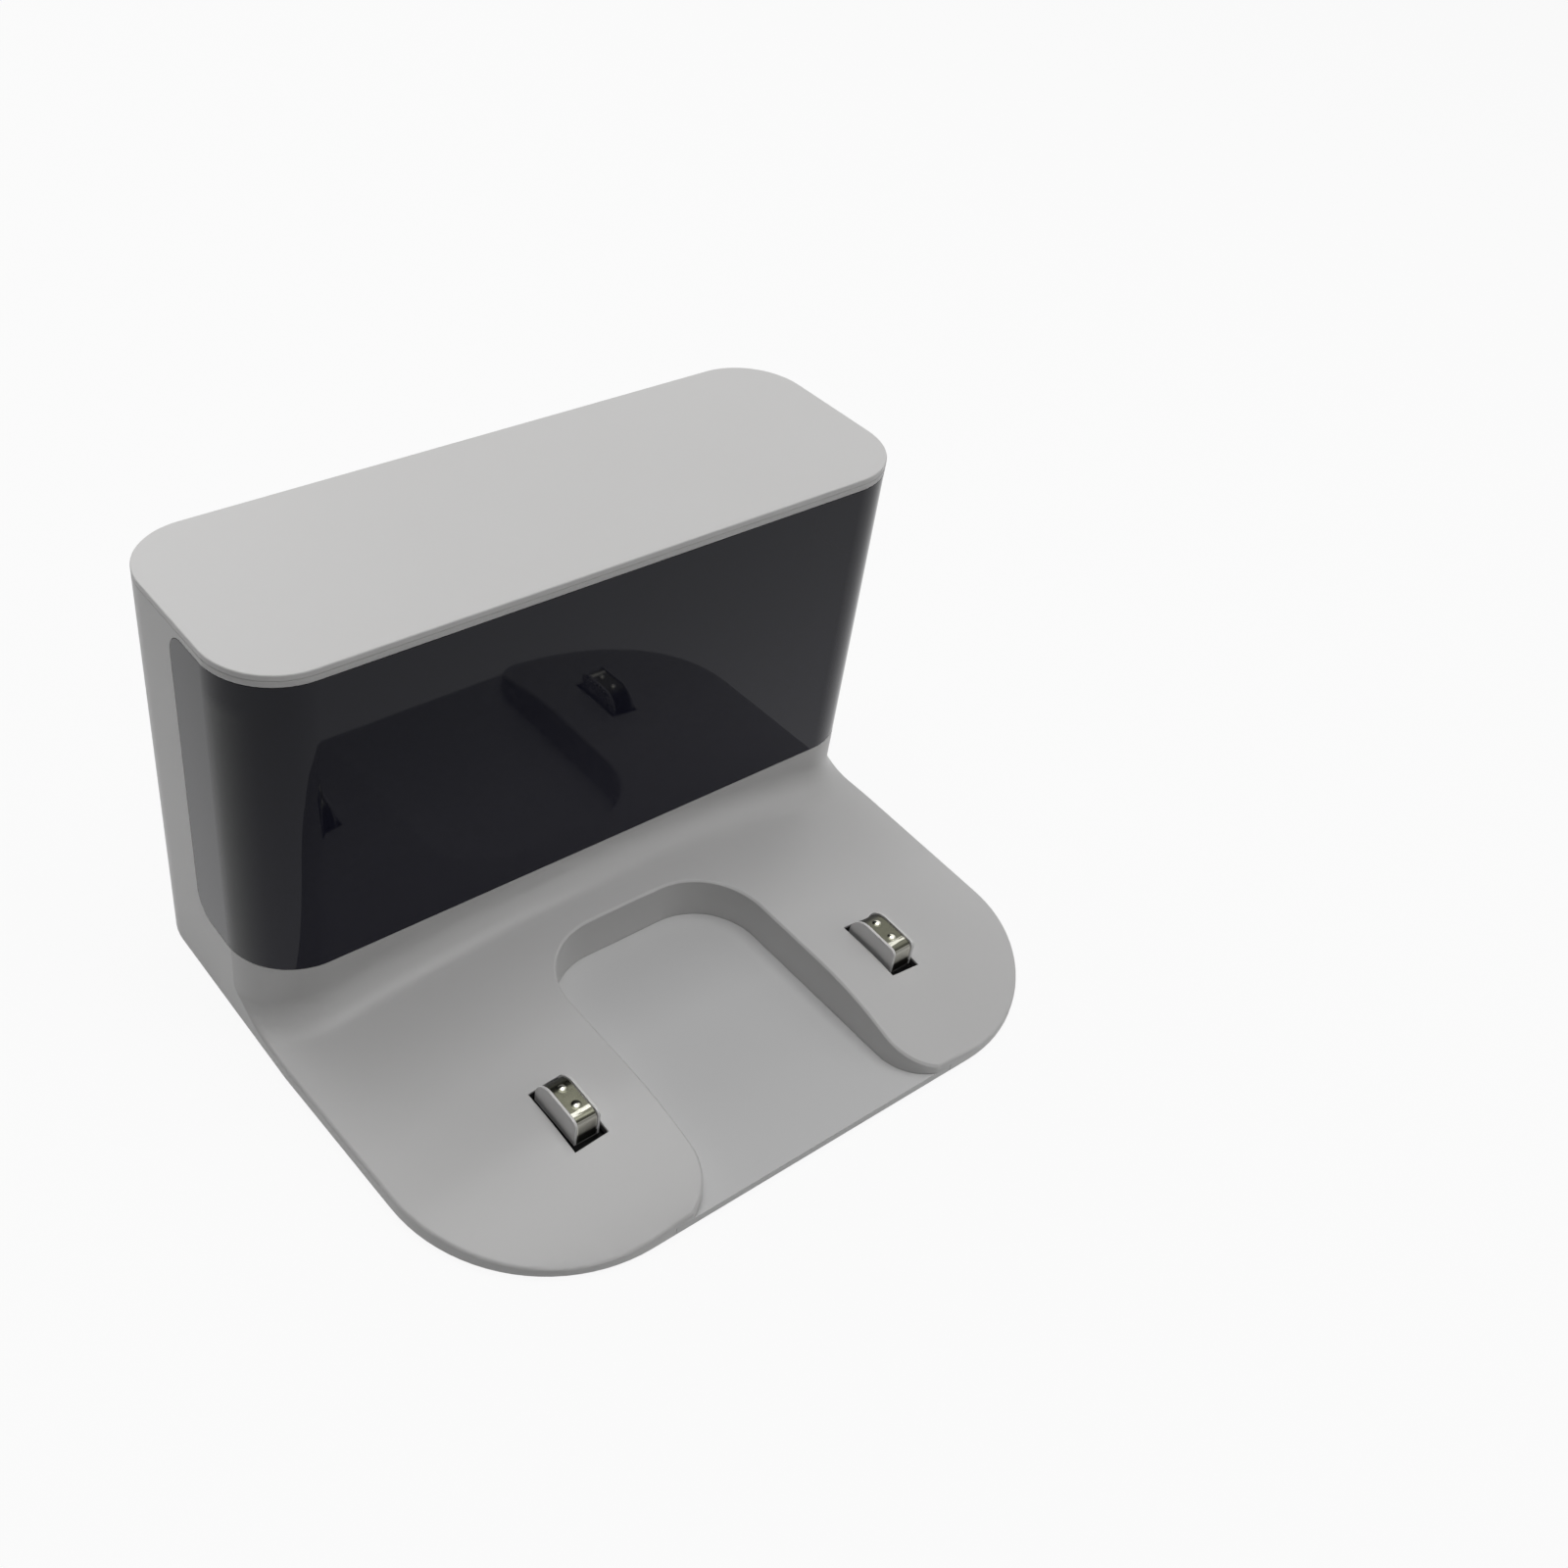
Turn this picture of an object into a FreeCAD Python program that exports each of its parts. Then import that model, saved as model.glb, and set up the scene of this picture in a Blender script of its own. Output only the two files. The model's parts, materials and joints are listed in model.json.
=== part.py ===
import FreeCAD, Part
import math
import os
from FreeCAD import Vector as V

# Robot vacuum charging dock: a low deck with a bay for the robot's front wheel, two sprung charging
# contacts, and a tall tower whose front is a dark infrared window. Millimetres, +Z up, front is -Y.
# The origin is on the ground, in the middle of the whole dock.

# Overall
width = 180.0              # tower, and the base beside it
depth = 151.4              # front of the base to the back of the tower
height = 105.5             # ground to the top of the lid
tower_depth = 60.7
tower_corner_r = 17.0
foot_stand = 0.8           # how far the rubber feet lift the base
plate_thick = 2.1
wall = 2.2                 # moulded wall of the housing
part_gap = 0.15            # between pieces that are laid or snapped together
seat_gap = 0.05            # between a piece and what it rests on

# Deck
deck_height = 14.6         # middle of the deck, above the ground
crown_drop = 10.53         # the deck is crowned: its sides lie this much lower than its middle
droop_length = 36.0        # the front stretch that falls towards the robot
droop_r = 90.0
side_taper = 0.039         # each side draws in towards the front, mm per mm
taper_lead = 8.0           # the taper starts this far in front of the tower
front_flat = 4.77          # straight front edge between the bay's mouth and a rounded corner
tower_blend_r = 8.0        # hollow blend from the tower down to the deck
deck_edge_r = 1.0
bay_edge = 0.5             # chamfer round the bay's rim
hollow_drop = 0.6          # the hollow lies this much deeper under the drooping front
skirt = 2.4                # rim of the housing outside the base plate

# Wheel bay
bay_width = 58.6           # across the rim, at the deck
bay_draft = 1.0            # how much narrower each wall stands at the floor
bay_back = 14.5            # deck between the tower and the bay
bay_corner_r = 17.8
bay_mouth_r = 12.0

# Tower front
window_bottom = 22.6       # above the ground
window_side = 30.5         # how far the window runs back along each side
window_thick = 1.6
window_corner_r = 6.0
window_ledge = 5.0         # seat round the window's opening
ledge_thick = 1.8
band_thick = 1.5           # top rim of the housing, seen under the lid
band_width = 7.0
lid_thick = 1.45
lid_edge = 0.2             # chamfer of the lid's upper edge
lid_rim_depth = 2.6        # locating rim under the lid
lid_rim_thick = 1.6
lid_rim_end = 4.0          # the lid's ribs stop this far before its rounded corners
hook_width = 10.0
hook_reach = 1.0

# Charging contacts
contact_spacing = 94.4     # centre to centre
contact_back = 48.6        # tower face to the rear end of a slot
slot_length = 18.2
slot_width = 8.8
carrier_gap = 1.05         # each side of the carrier in its slot
carrier_front_gap = 1.95
carrier_rear_gap = 1.0
carrier_rise = 5.9         # top of the carrier above the deck
carrier_nose_r = 1.6
carrier_tail_r = 5.5
toe_reach = 0.8            # toes beside the carrier's front catch under the deck by this much
toe_length = 2.2
toe_thick = 1.3
toe_gap = 0.15             # toe to the deck's underside at rest
pivot_depth = 4.7          # pivot below the deck's face, at the slot's rear
pin_r = 0.9
pin_play = 0.05
eye_r = 1.7                # round eye at the carrier's tail
strip_thick = 0.4
cheek = 0.8                # plastic beside the metal strip
cheek_proud = 0.2          # the cheeks stand above the strip
dimple_r = 1.15
dimple_rise = 0.4
dimple_places = (0.35, 0.71)   # share of the strip's length, from its rear
press_angle = 8.0          # travel of a contact, degrees
bracket_thick = 0.8
bracket_gap = 0.25         # bracket wall to the carrier
lug_length = 5.2
lug_width = 4.8
lug_post = 4.0             # post of the housing that clamps a lug on the base plate
cheek_height = 1.6         # side walls of the bracket
ear_before = 2.4           # ear of the bracket round the pin
ear_behind = 1.9
ear_above = 1.6
leaf_thick = 0.3
leaf_width = 4.0

# Screws of the base plate, and their bosses
screw_r = 1.4
screw_head_r = 2.8
screw_head_height = 1.3
screw_length = 4.0
screw_room = 0.2           # screw to its holes in the plate
thread_gap = 0.05          # screw to its hole in the boss
tip_room = 0.25
boss_r = 3.2               # half the width of a square post
boss_cover = 0.6           # a post ends this far below the deck's face
rear_boss_height = 17.0
rear_boss_place = 27.0     # from the back
rib_thick = 1.6

# Feet
pad_length = 18.0
pad_width = 8.0
pad_corner = 2.0
pad_side = 24.0            # middle of a rear pad from the dock's side
pad_rear = 10.0
pad_front_side = 32.0
pad_front = 15.0
pad_sink = 1.0             # depth of the pocket that holds a pad

# Inside the tower
panel_thick = 1.8
panel_back = 6.2           # tower face to the dark panel
panel_side_gap = 0.5
rail_reach = 7.5           # rails that hold the panel's edges, fused to the housing
rail_place = 13.0          # from the dock's side
rail_thick = 1.5
rail_low = 6.0             # above the window's lower edge
rail_high = 8.0            # below the band
aperture = 6.2             # square window of the panel in front of an infrared light
board_thick = 1.6
board_standoff = 3.0
board_width = 110.0
board_height = 42.0
post_size = 5.0            # posts behind the board's corners
clip_width = 6.0           # snap hooks at the board's upper and lower edges
clip_thick = 1.2
clip_lip = 0.8
clip_place = 34.0
led_r = 2.5
led_length = 6.6
led_spacing = 42.0
socket_width = 9.0
socket_height = 11.0
socket_length = 13.0
cradle_depth = 8.0         # shelf and two ribs that hold the socket
cradle_thick = 1.4
jack_r = 2.9               # for a plug of 5.5 mm
jack_pin_r = 1.0
jack_depth = 9.5
jack_height = 15.0         # above the ground
jack_recess_r = 6.2        # room for the plug's grip in the back wall
ballast_width = 78.0
ballast_depth = 34.0
ballast_thick = 4.0
lead_thick = 1.2
lead_width = 3.4
lead_bend = 3.0

# Places that follow from the sizes above
front_y = -depth / 2
back_y = depth / 2
tower_y = back_y - tower_depth
taper_y = tower_y - taper_lead
droop_y = front_y + droop_length
half = width / 2
crown_r = (half ** 2 + crown_drop ** 2) / (2 * crown_drop)
front_half = half - side_taper * (taper_y - front_y)
plate_top = foot_stand + plate_thick
bay_half = bay_width / 2
front_corner_r = front_half - bay_half - bay_mouth_r - front_flat
bay_y = tower_y - bay_back
band_top = height - lid_thick
band_low = band_top - band_thick
slot_rear_y = tower_y - contact_back
slot_front_y = slot_rear_y - slot_length
hollow_y = slot_front_y - 4.0
far = width                # longer than anything here


def deck_z(x, y, below=0.0):
    """height of the deck's surface, or of the surface a wall's thickness below it"""
    crown = crown_r - below
    side = math.sqrt(crown ** 2 - x ** 2) - crown_r
    fall = droop_y - y
    if fall <= 0:
        return deck_height + side
    arm = droop_r + side
    return deck_height - droop_r + math.sqrt(arm ** 2 - fall ** 2)


def rounded_wire(corners, z=0.0):
    """closed wire through (x, y, radius) corners, each rounded by a tangent arc"""
    starts, ends, arcs = [], [], []
    count = len(corners)
    for i, (x, y, r) in enumerate(corners):
        here = V(x, y, z)
        before = V(*corners[i - 1][:2], z) - here
        after = V(*corners[(i + 1) % count][:2], z) - here
        before.normalize()
        after.normalize()
        if r <= 0:
            starts.append(here)
            ends.append(here)
            arcs.append(None)
            continue
        half_angle = before.getAngle(after) / 2
        reach = r / math.tan(half_angle)
        middle = before + after
        middle.normalize()
        start, end = here + before * reach, here + after * reach
        top = here + middle * (r / math.sin(half_angle) - r)
        starts.append(start)
        ends.append(end)
        arcs.append(Part.Arc(start, top, end).toShape())
    edges = []
    for i in range(count):
        if arcs[i]:
            edges.append(arcs[i])
        following = starts[(i + 1) % count]
        if ends[i].distanceToPoint(following) > 1e-6:
            edges.append(Part.makeLine(ends[i], following))
    return Part.Wire(edges)


def prism(corners, low, high):
    return Part.Face(rounded_wire(corners, low)).extrude(V(0, 0, high - low))


def block(x0, x1, y0, y1, z0, z1):
    return Part.makeBox(x1 - x0, y1 - y0, z1 - z0, V(x0, y0, z0))


def rod(r, length, start, direction):
    return Part.makeCylinder(r, length, start, direction)


def side_profile(corners, x0, x1):
    """prism along X of a rounded outline given in (y, z, radius)"""
    shape = prism(corners, x0, x1)
    shape.Placement = FreeCAD.Placement(V(0, 0, 0), FreeCAD.Rotation(V(1, 1, 1), 120))
    return shape


def tower_outline(inset):
    """plan of the tower, drawn in by inset all round"""
    r = tower_corner_r - inset
    x, back, front = half - inset, back_y - inset, tower_y + inset
    return [(-x, front, r), (x, front, r), (x, back, r), (-x, back, r)]


def plan_outline(inset):
    """plan of the whole dock without its wheel bay, drawn in by inset"""
    x, xf, back, front = half - inset, front_half - inset, back_y - inset, front_y + inset
    rear, nose = tower_corner_r - inset, front_corner_r - inset
    return [(x, back, rear), (-x, back, rear), (-x, taper_y, 0), (-xf, front, nose),
            (xf, front, nose), (x, taper_y, 0)]


def bay_outline(grow, lip=0.02):
    """plan of the wheel bay, flared at its mouth and open past the front"""
    x, back = bay_half + grow, bay_y + grow
    line = front_y + grow - lip
    rear, mouth = bay_corner_r + grow, bay_mouth_r - grow
    return [(x, back, rear), (-x, back, rear), (-x, line, mouth), (-half, line, 0),
            (-half, front_y - far, 0), (half, front_y - far, 0), (half, line, 0), (x, line, mouth)]


def crown_face(drop, y):
    """upright section through the deck at y, its top drop below the crowned surface"""
    reach = half + 25
    r = crown_r - drop
    centre = deck_height - crown_r
    edge = centre + math.sqrt(r ** 2 - reach ** 2)
    bottom = edge - 12
    points = [V(-reach, y, edge), V(0, y, centre + r), V(reach, y, edge)]
    profile = Part.Wire([Part.Arc(*points).toShape(),
                         Part.makeLine(points[2], V(reach, y, bottom)),
                         Part.makeLine(V(reach, y, bottom), V(-reach, y, bottom)),
                         Part.makeLine(V(-reach, y, bottom), points[0])])
    return Part.Face(profile)


def crowned(drop, y0, y1):
    return crown_face(drop, y0).extrude(V(0, y1 - y0, 0))


def under_deck():
    """everything below the crowned and drooping deck"""
    front = crown_face(0, droop_y).revolve(V(0, droop_y, deck_height - droop_r), V(1, 0, 0), 40)
    return crowned(0, droop_y, back_y + 10).fuse(front)


def tower_column():
    """the tower's front and corners, running out past the dock's sides just short of tangent"""
    lean = math.radians(10)
    turn = (math.pi / 2 - lean) / 2
    x = half - tower_corner_r + tower_corner_r * math.tan(turn)
    back = back_y + 10
    spread = x + (back - tower_y) * math.tan(lean)
    return prism([(-x, tower_y, tower_corner_r), (x, tower_y, tower_corner_r),
                  (spread, back, 0), (-spread, back, 0)], -30, band_top)


def outer_form():
    """outside of the housing: deck, tower and the hollow blend between them"""
    column = tower_column()
    solid = under_deck().fuse(column).removeSplitter()
    foot = [e for e in solid.Edges
            if e.BoundBox.ZMax < deck_height + 1 and e.BoundBox.ZMin > -20
            and column.distToShape(Part.Vertex(e.valueAt((e.FirstParameter + e.LastParameter) / 2)))[0] < 1e-4
            and e.BoundBox.YMin < back_y and abs(e.tangentAt(e.FirstParameter).z) < 0.9]
    foot = [e for e in foot if e.BoundBox.YMax < back_y + 10.01 and e.BoundBox.YMin < back_y + 9]
    solid = solid.makeFillet(tower_blend_r, foot)
    return solid.common(prism(plan_outline(0), foot_stand, band_top))


def bay_space():
    """the wheel bay, wider at the deck than at the floor by its draft"""
    low = rounded_wire(bay_outline(-bay_draft), plate_top - 3)
    high = rounded_wire(bay_outline(0), deck_height + 3)
    return Part.makeLoft([low, high], True, True)


def window_band(grow, depth_in):
    """the window's curved band, grown on every edge by grow and depth_in thick"""
    outside = prism(tower_outline(min(0, -grow * 4)), window_bottom - grow, band_low + grow - part_gap)
    inside = prism(tower_outline(depth_in), window_bottom - 9, band_top + 9)
    low, high = window_bottom - grow, band_low - part_gap + grow
    rear = tower_y + window_side + grow
    side = side_profile([(tower_y - 5, low, 0), (rear, low, window_corner_r + grow),
                         (rear, high, window_corner_r + grow), (tower_y - 5, high, 0)], -half - 5, half + 5)
    return outside.cut(inside).common(side)


def window_opening():
    low, high = window_bottom + window_ledge, band_low - window_ledge
    rear = tower_y + window_side - window_ledge
    r = window_corner_r
    return side_profile([(tower_y - 5, low, 0), (rear, low, r), (rear, high, r), (tower_y - 5, high, 0)],
                        -half - 5, half + 5)


front_inset = window_thick + part_gap + ledge_thick
bracket_outer = slot_width / 2 - carrier_gap + bracket_gap + bracket_thick
rear_screw_x = half - skirt - part_gap - screw_head_r - rib_thick
front_screw_x = contact_spacing / 2 + bracket_outer + lug_length + boss_r + 1.0
screw_places = [(side * x, y) for x, y in ((rear_screw_x, back_y - rear_boss_place), (front_screw_x, droop_y - 1))
                for side in (-1, 1)]


def housing_space():
    """the hollow of the housing, open below and at the top of the tower"""
    deck = crowned(wall, droop_y, back_y).fuse(crowned(wall + hollow_drop, hollow_y, droop_y + 1))
    deck = deck.common(prism(plan_outline(wall), -1, deck_height))
    deck = deck.cut(prism(bay_outline(wall), -2, deck_height + 5))
    split = tower_y + window_side + 2
    front = prism(tower_outline(front_inset), -1, band_low).common(block(-half, half, tower_y, split, -2, height))
    rear = prism(tower_outline(wall), -1, band_low).common(block(-half, half, split - 0.5, back_y, -2, height))
    mouth = prism(tower_outline(band_width), band_low - 1, band_top + 1)
    seat = prism(plan_outline(skirt), -1, plate_top + seat_gap)
    tab = block(-bay_half - bay_mouth_r - part_gap, bay_half + bay_mouth_r + part_gap,
                front_y - 1, front_y + skirt + 2, -1, plate_top + seat_gap)
    return deck.fuse([front, rear, mouth, seat, tab])


def boss(x, y, low, high, r, hole_r, hole_depth):
    """square post of the housing, and the hole for its screw"""
    return block(x - r, x + r, y - r, y + r, low, high), rod(hole_r, hole_depth + 1, V(x, y, low - 1), V(0, 0, 1))


def contact_slot(x):
    return block(x - slot_width / 2, x + slot_width / 2, slot_front_y, slot_rear_y, plate_top + 1, height / 3)


def lug_places(x):
    reach = bracket_outer + lug_length - lug_width / 2
    return [(x + side * reach, (slot_front_y + slot_rear_y) / 2 + 1) for side in (-1, 1)]


def bay_rims(body, in_bay):
    """the deck's edges round the bay, or the ones along the dock's sides and front"""
    reach = bay_half + bay_mouth_r + 2 * skirt
    return [e for e in body.Edges if on_deck_rim(e)
            and in_bay == (e.BoundBox.XMin > -reach and e.BoundBox.XMax < reach)]


def socket_cradle():
    """shelf and two ribs on the back wall that hold the supply socket"""
    inner = back_y - wall
    rib = socket_width / 2 + part_gap
    low, high = jack_height - socket_height / 2, jack_height + socket_height / 2
    pieces = [block(-rib - cradle_thick, rib + cradle_thick, inner - cradle_depth, inner + 0.5,
                    low - cradle_thick, low - seat_gap)]
    for side in (-1, 1):
        x0, x1 = sorted((side * rib, side * (rib + cradle_thick)))
        pieces.append(block(x0, x1, inner - cradle_depth, inner + 0.5, low - cradle_thick, high))
    return pieces


def panel_rails():
    y = tower_y + panel_back + panel_thick + seat_gap
    pieces = []
    for side in (-1, 1):
        x0, x1 = sorted((side * (half - rail_place), side * (half - rail_place + rail_reach)))
        pieces.append(block(x0, x1, y, y + rail_thick, window_bottom + rail_low, band_low - rail_high))
    return pieces


def housing():
    body = outer_form().cut(bay_space())
    body = body.makeChamfer(bay_edge, bay_rims(body, True))
    body = body.makeFillet(deck_edge_r, bay_rims(body, False))
    body = body.cut(housing_space())
    low = plate_top + seat_gap
    posts, holes = socket_cradle() + panel_rails(), []
    for x, y in screw_places:
        rear = abs(x) == rear_screw_x
        top = low + rear_boss_height if rear else deck_z(x, y) - boss_cover
        depth = foot_stand + screw_head_height + screw_length - plate_top + tip_room
        post, hole = boss(x, y, low, top, boss_r, screw_r + thread_gap, depth)
        posts.append(post)
        holes.append(hole)
        if rear:
            x0, x1 = sorted((x, math.copysign(half - wall + 0.3, x)))
            posts.append(block(x0, x1, y - rib_thick / 2, y + rib_thick / 2, low + 3, top))
    for x in (-contact_spacing / 2, contact_spacing / 2):
        holes.append(contact_slot(x))
        for bx, by in lug_places(x):
            posts.append(block(bx - lug_post / 2, bx + lug_post / 2, by - lug_post / 2, by + lug_post / 2,
                               low + bracket_thick + seat_gap, deck_z(bx, by) - boss_cover - 0.2))
    holes.append(rod(jack_recess_r, wall + 2, V(0, back_y - wall - 1, jack_height), V(0, 1, 0)))
    body = body.fuse(posts).cut(holes + [window_band(part_gap, window_thick + part_gap), window_opening()])
    return body.removeSplitter()


def on_deck_rim(edge):
    """true for the edges where the deck's top meets the outer sides or the bay's walls"""
    box = edge.BoundBox
    if box.ZMax > deck_height + 0.5 or box.ZMin < foot_stand + 1 or box.YMax > taper_y + 0.1:
        return False
    middle = edge.valueAt((edge.FirstParameter + edge.LastParameter) / 2)
    if abs(middle.z - deck_z(middle.x, middle.y)) > 0.05:
        return False
    across = box.YLength < 0.01
    seam = abs(middle.y - droop_y) < 0.01 or abs(middle.y - taper_y) < 1.5
    return not (across and seam)


def top_lid():
    low = band_top + seat_gap
    plate = prism(tower_outline(0), low, height)
    upper = [e for e in plate.Edges if e.BoundBox.ZMin > height - 0.01]
    plate = plate.makeChamfer(lid_edge, upper)
    inset = band_width + part_gap
    reach = half - tower_corner_r - lid_rim_end
    rib_low, top = band_top - lid_rim_depth, band_low - part_gap
    front, back, side_x = tower_y + inset, back_y - inset, half - inset
    corner = tower_corner_r + lid_rim_end
    ribs = [block(-reach, reach, front, front + lid_rim_thick, rib_low, low),
            block(-reach, reach, back - lid_rim_thick, back, rib_low, low),
            block(-side_x, -side_x + lid_rim_thick, tower_y + corner, back_y - corner, rib_low, low),
            block(side_x - lid_rim_thick, side_x, tower_y + corner, back_y - corner, rib_low, low)]
    for x in (-half / 2, half / 2):
        ribs.append(block(x - hook_width / 2, x + hook_width / 2, front - hook_reach, front, rib_low, top))
        ribs.append(block(x - hook_width / 2, x + hook_width / 2, back, back + hook_reach, rib_low, top))
    return plate.fuse(ribs).removeSplitter()


def ir_window():
    return window_band(0, window_thick)


def base_plate():
    plate = prism(plan_outline(skirt + part_gap), foot_stand, plate_top)
    tab = bay_half + bay_mouth_r
    plate = plate.fuse(block(-tab, tab, front_y, front_y + skirt + 2, foot_stand, plate_top)).removeSplitter()
    holes = []
    for x, y in screw_places:
        below = V(x, y, foot_stand - 1)
        holes.append(rod(screw_r + screw_room, plate_thick + 2, below, V(0, 0, 1)))
        holes.append(rod(screw_head_r + screw_room, screw_head_height + 1 + seat_gap, below, V(0, 0, 1)))
    for x, y in pad_places:
        holes.append(pad(x, y, part_gap, foot_stand - 1, foot_stand + pad_sink + seat_gap))
    return plate.cut(holes)


pad_places = [(side * x, y) for x, y in ((half - pad_side, back_y - pad_rear),
                                         (front_half - pad_front_side, front_y + pad_front)) for side in (-1, 1)]


def pad(x, y, grow, low, high):
    """rubber pad with cut corners, long across the dock"""
    a, b = pad_length / 2 + grow, pad_width / 2 + grow
    cut = pad_corner
    quarter = [(a - cut, b), (a, b - cut)]
    corners = [(p, q) for p, q in quarter] + [(p, -q) for p, q in quarter[::-1]]
    corners += [(-p, -q) for p, q in quarter] + [(-p, q) for p, q in quarter[::-1]]
    return prism([(x + p, y + q, 0) for p, q in corners], low, high)


def pan_screw(start, direction):
    """screw whose head sits at start and whose shank runs along direction"""
    head = rod(screw_head_r, screw_head_height, start - direction * screw_head_height, direction)
    return head.fuse(rod(screw_r, screw_length, start, direction))


def rocker(x, inset, width_x, low):
    """side outline of a contact, drawn in by inset, as a prism width_x wide and cut off below low"""
    tail, nose = slot_rear_y - carrier_rear_gap, slot_front_y + carrier_front_gap
    tail_top = deck_z(x, tail) + carrier_rise - inset
    nose_top = deck_z(x, nose) + carrier_rise - inset
    return side_profile([(nose + inset, low, 0), (tail - inset, low, 0), (tail - inset, tail_top, carrier_tail_r),
                         (nose + inset, nose_top, carrier_nose_r)], x - width_x / 2, x + width_x / 2)


def pivot(x):
    """the contact's pivot, under the tail"""
    return slot_rear_y - carrier_rear_gap - eye_r, deck_z(x, slot_rear_y) - pivot_depth


carrier_width = slot_width - 2 * carrier_gap
strip_width = carrier_width - 2 * cheek


def contact_floor(x):
    """underside of the carrier's front, with room for its travel above the base plate"""
    reach = pivot(x)[0] - slot_front_y
    return plate_top + seat_gap + bracket_thick + reach * math.sin(math.radians(press_angle)) + 0.3


def contact_carrier(x):
    y, z = pivot(x)
    nose = slot_front_y + carrier_front_gap
    low = contact_floor(x)
    body = rocker(x, 0, carrier_width, low)
    eye = rod(eye_r, carrier_width, V(x - carrier_width / 2, y, z), V(1, 0, 0))
    arm = block(x - carrier_width / 2, x + carrier_width / 2, y - 4, y + eye_r, *sorted((z, low + 1)))
    toe_half = slot_width / 2 + toe_reach
    under = deck_z(abs(x) + toe_half, droop_y, wall + hollow_drop) - toe_gap
    toes = block(x - toe_half, x + toe_half, nose, nose + toe_length, under - toe_thick, under)
    body = body.fuse([eye, arm, toes])
    channel = rocker(x, -1, strip_width + 2 * part_gap, strip_low(x))
    core = rocker(x, cheek_proud + strip_thick + seat_gap, strip_width + 1, strip_low(x) - 1)
    bore = rod(pin_r + pin_play, carrier_width + 2, V(x - carrier_width / 2 - 1, y, z), V(1, 0, 0))
    return body.cut(channel.cut(core)).cut(bore).removeSplitter()


def strip_low(x):
    """where the metal strip ends, just under the deck's surface"""
    return deck_z(x, slot_front_y) - 1.2


def contact_strip(x):
    low = strip_low(x)
    strip = rocker(x, cheek_proud, strip_width, low)
    strip = strip.cut(rocker(x, cheek_proud + strip_thick, strip_width + 2, low - 1))
    tail, nose = slot_rear_y - carrier_rear_gap, slot_front_y + carrier_front_gap
    slope = (deck_z(x, nose) - deck_z(x, tail)) / (nose - tail)
    for share in dimple_places:
        y = tail + (nose - tail) * share
        top = deck_z(x, tail) + slope * (y - tail) + carrier_rise - cheek_proud
        strip = strip.fuse(rod(dimple_r, dimple_rise + strip_thick / 2, V(x, y, top - strip_thick / 2), V(0, 0, 1)))
    return strip


def contact_pin(x):
    y, z = pivot(x)
    length = carrier_width + 2 * (bracket_gap + bracket_thick) + 0.8
    return rod(pin_r, length, V(x - length / 2, y, z), V(1, 0, 0))


def contact_bracket(x):
    """sheet-metal cradle: a floor with two lugs, and two cheeks with ears for the pin"""
    y, z = pivot(x)
    inner = bracket_outer - bracket_thick
    low = plate_top + seat_gap
    floor = low + bracket_thick
    rear, front = y + ear_behind, slot_front_y + 2.0
    shape = block(x - bracket_outer, x + bracket_outer, front, rear, low, floor)
    reach, middle = bracket_outer + lug_length, lug_places(x)[0][1]
    shape = shape.fuse(block(x - reach, x + reach, middle - lug_width / 2, middle + lug_width / 2, low, floor))
    outline = [(front, low, 0), (rear, low, 0), (rear, z + ear_above, ear_above), (y - ear_before, z + ear_above, 1),
               (y - ear_before, low + cheek_height, 0), (front, low + cheek_height, 0)]
    for side in (-1, 1):
        x0, x1 = sorted((x + side * inner, x + side * bracket_outer))
        shape = shape.fuse(side_profile(outline, x0, x1))
    hole = rod(pin_r + 0.02, 2 * bracket_outer + 2, V(x - bracket_outer - 1, y, z), V(1, 0, 0))
    return shape.cut(hole).removeSplitter()


def contact_spring(x):
    """leaf spring: a flat foot on the bracket and an arm that bears on the carrier's front"""
    low = plate_top + seat_gap + bracket_thick + leaf_thick / 2
    high = contact_floor(x) - seat_gap - leaf_thick / 2
    y, tip = pivot(x)[0], slot_front_y + 3.2
    return ribbon(x, leaf_width, leaf_thick, 1.2, [(y - 3, low), (y - 7, low), (tip + 1.5, high), (tip, high)])


def inner_panel():
    """dark panel behind the window, with an aperture for each infrared light and clips for the board"""
    y = tower_y + panel_back
    r = tower_corner_r - front_inset - part_gap
    x = half - tower_corner_r + math.sqrt(r ** 2 - (tower_corner_r - panel_back) ** 2) - panel_side_gap
    low, high = window_bottom + 0.4, band_top - lid_rim_depth - 0.3
    rear = y + panel_thick
    panel = block(-x, x, y, rear, low, high)
    pieces = []
    for side in (-1, 1):
        for up in (-1, 1):
            cx = side * (board_width - post_size) / 2
            cz = board_z + up * (board_height - post_size) / 2
            pieces.append(block(cx - post_size / 2, cx + post_size / 2, rear, rear + board_standoff,
                                cz - post_size / 2, cz + post_size / 2))
            edge = board_z + up * (board_height / 2 + part_gap)
            z0, z1 = sorted((edge, edge + up * clip_thick))
            lip0, lip1 = sorted((edge + up * clip_thick, edge - up * clip_lip))
            cx0, cx1 = side * clip_place - clip_width / 2, side * clip_place + clip_width / 2
            lip_y = board_y + board_thick + seat_gap
            pieces.append(block(cx0, cx1, rear, lip_y + clip_thick, z0, z1))
            pieces.append(block(cx0, cx1, lip_y, lip_y + clip_thick, lip0, lip1))
    a = aperture / 2
    holes = [block(lx - a, lx + a, y - 1, rear + 1, board_z - a, board_z + a) for lx in led_places]
    return panel.fuse(pieces).cut(holes)


board_z = (window_bottom + band_low) / 2
board_y = tower_y + panel_back + panel_thick + board_standoff + seat_gap
led_places = [-led_spacing, 0, led_spacing]
chips = [(-16, 6, 14, 9, 2.2), (8, -6, 10, 10, 1.6), (22, 8, 7, 5, 1.8), (-4, 11, 5, 4, 1.4)]   # x, z, size, height


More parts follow.
